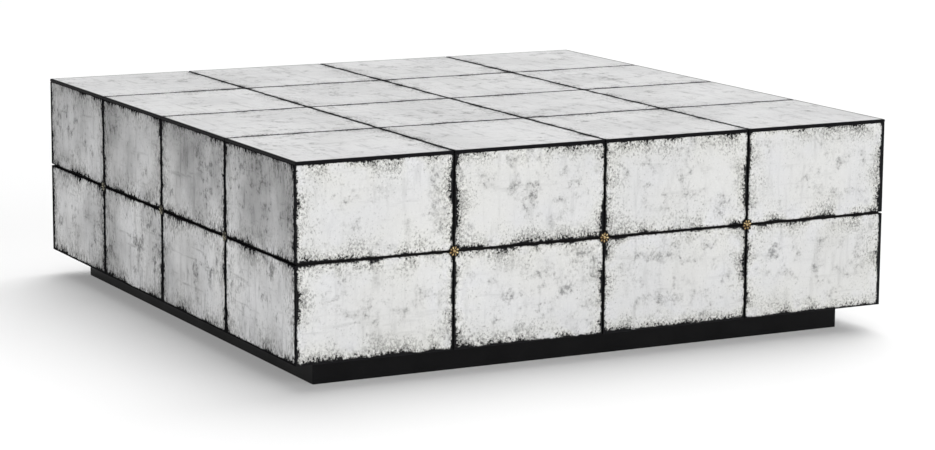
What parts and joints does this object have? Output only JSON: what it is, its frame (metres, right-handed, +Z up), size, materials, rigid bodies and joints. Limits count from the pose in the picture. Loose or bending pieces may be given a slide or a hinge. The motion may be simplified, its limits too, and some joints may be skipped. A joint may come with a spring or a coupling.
{
  "type": "mirrored coffee table",
  "caption": "Low square coffee table clad in antiqued mirror panes with small brass rosettes, on a recessed black plinth with screw-down levelling feet.",
  "frame": {"origin": "on the floor under the middle of the table, the levelling feet screwed right in", "axes": "+Z up, -Y towards the front; all four sides are alike, so the front is only a name"},
  "size_m": [1.2268, 1.2268, 0.406],
  "materials": {
    "antiqued_mirror": "silvered glass, antiqued black and speckled round its edges, clouded in the middle",
    "black_lacquer": "satin black lacquer on board",
    "black_board": "board stained matt black, seen only in the joints and from below",
    "raw_board": "unfinished board, hidden inside",
    "aged_brass": "cast brass, polished on the petals and darkened in the hollows",
    "zinc_steel": "zinc plated",
    "nylon": "moulded, matt black"
  },
  "bodies": {
    "table": {"back_mirrors_1": "antiqued_mirror", "back_mirrors_2": "antiqued_mirror", "back_mirrors_3": "antiqued_mirror", "back_mirrors_4": "antiqued_mirror", "back_wall": "black_board", "bottom_board": "black_board", "carcass_corner_blocks": "raw_board", "carcass_screws": "zinc_steel", "cross_ribs": "raw_board", "front_mirrors_1": "antiqued_mirror", "front_mirrors_2": "antiqued_mirror", "front_mirrors_3": "antiqued_mirror", "front_mirrors_4": "antiqued_mirror", "front_wall": "black_board", "left_mirrors_1": "antiqued_mirror", "left_mirrors_2": "antiqued_mirror", "left_mirrors_3": "antiqued_mirror", "left_mirrors_4": "antiqued_mirror", "left_wall": "black_board", "leveller_nuts": "zinc_steel", "long_ribs": "raw_board", "plinth_back": "black_lacquer", "plinth_corner_blocks": "raw_board", "plinth_cross_rail": "raw_board", "plinth_front": "black_lacquer", "plinth_left": "black_lacquer", "plinth_right": "black_lacquer", "plinth_screws": "zinc_steel", "right_mirrors_1": "antiqued_mirror", "right_mirrors_2": "antiqued_mirror", "right_mirrors_3": "antiqued_mirror", "right_mirrors_4": "antiqued_mirror", "right_wall": "black_board", "rosette_screws": "aged_brass", "rosettes": "aged_brass", "top_board": "black_board", "top_mirror_1_1": "antiqued_mirror", "top_mirror_1_2": "antiqued_mirror", "top_mirror_1_3": "antiqued_mirror", "top_mirror_1_4": "antiqued_mirror", "top_mirror_2_1": "antiqued_mirror", "top_mirror_2_2": "antiqued_mirror", "top_mirror_2_3": "antiqued_mirror", "top_mirror_2_4": "antiqued_mirror", "top_mirror_3_1": "antiqued_mirror", "top_mirror_3_2": "antiqued_mirror", "top_mirror_3_3": "antiqued_mirror", "top_mirror_3_4": "antiqued_mirror", "top_mirror_4_1": "antiqued_mirror", "top_mirror_4_2": "antiqued_mirror", "top_mirror_4_3": "antiqued_mirror", "top_mirror_4_4": "antiqued_mirror"},
    "foot_pad_front_left": {"leveller_pad_front_left": "nylon"},
    "foot_stem_front_left": {"leveller_stem_front_left": "zinc_steel"},
    "foot_pad_front_right": {"leveller_pad_front_right": "nylon"},
    "foot_stem_front_right": {"leveller_stem_front_right": "zinc_steel"},
    "foot_pad_back_right": {"leveller_pad_back_right": "nylon"},
    "foot_stem_back_right": {"leveller_stem_back_right": "zinc_steel"},
    "foot_pad_back_left": {"leveller_pad_back_left": "nylon"},
    "foot_stem_back_left": {"leveller_stem_back_left": "zinc_steel"}
  },
  "joints": [
    {"name": "foot_drop_front_left", "type": "slide", "parent": "table", "child": "foot_pad_front_left", "axis": [0, 0, -1], "range_m": [0, 0.0125]},
    {"name": "foot_turn_front_left", "type": "hinge", "parent": "foot_pad_front_left", "child": "foot_stem_front_left", "pos_m": [-0.4965, -0.4965, 0.03], "axis": [0, 0, -1], "range_deg": [0, 3600]},
    {"name": "foot_drop_front_right", "type": "slide", "parent": "table", "child": "foot_pad_front_right", "axis": [0, 0, -1], "range_m": [0, 0.0125]},
    {"name": "foot_turn_front_right", "type": "hinge", "parent": "foot_pad_front_right", "child": "foot_stem_front_right", "pos_m": [0.4965, -0.4965, 0.03], "axis": [0, 0, -1], "range_deg": [0, 3600]},
    {"name": "foot_drop_back_right", "type": "slide", "parent": "table", "child": "foot_pad_back_right", "axis": [0, 0, -1], "range_m": [0, 0.0125]},
    {"name": "foot_turn_back_right", "type": "hinge", "parent": "foot_pad_back_right", "child": "foot_stem_back_right", "pos_m": [0.4965, 0.4965, 0.03], "axis": [0, 0, -1], "range_deg": [0, 3600]},
    {"name": "foot_drop_back_left", "type": "slide", "parent": "table", "child": "foot_pad_back_left", "axis": [0, 0, -1], "range_m": [0, 0.0125]},
    {"name": "foot_turn_back_left", "type": "hinge", "parent": "foot_pad_back_left", "child": "foot_stem_back_left", "pos_m": [-0.4965, 0.4965, 0.03], "axis": [0, 0, -1], "range_deg": [0, 3600]}
  ],
  "couplings": [
    {"joint": "foot_turn_front_left", "follows": "foot_drop_front_left", "rad_per_m": 5026.5},
    {"joint": "foot_turn_front_right", "follows": "foot_drop_front_right", "rad_per_m": 5026.5},
    {"joint": "foot_turn_back_right", "follows": "foot_drop_back_right", "rad_per_m": 5026.5},
    {"joint": "foot_turn_back_left", "follows": "foot_drop_back_left", "rad_per_m": 5026.5}
  ]
}
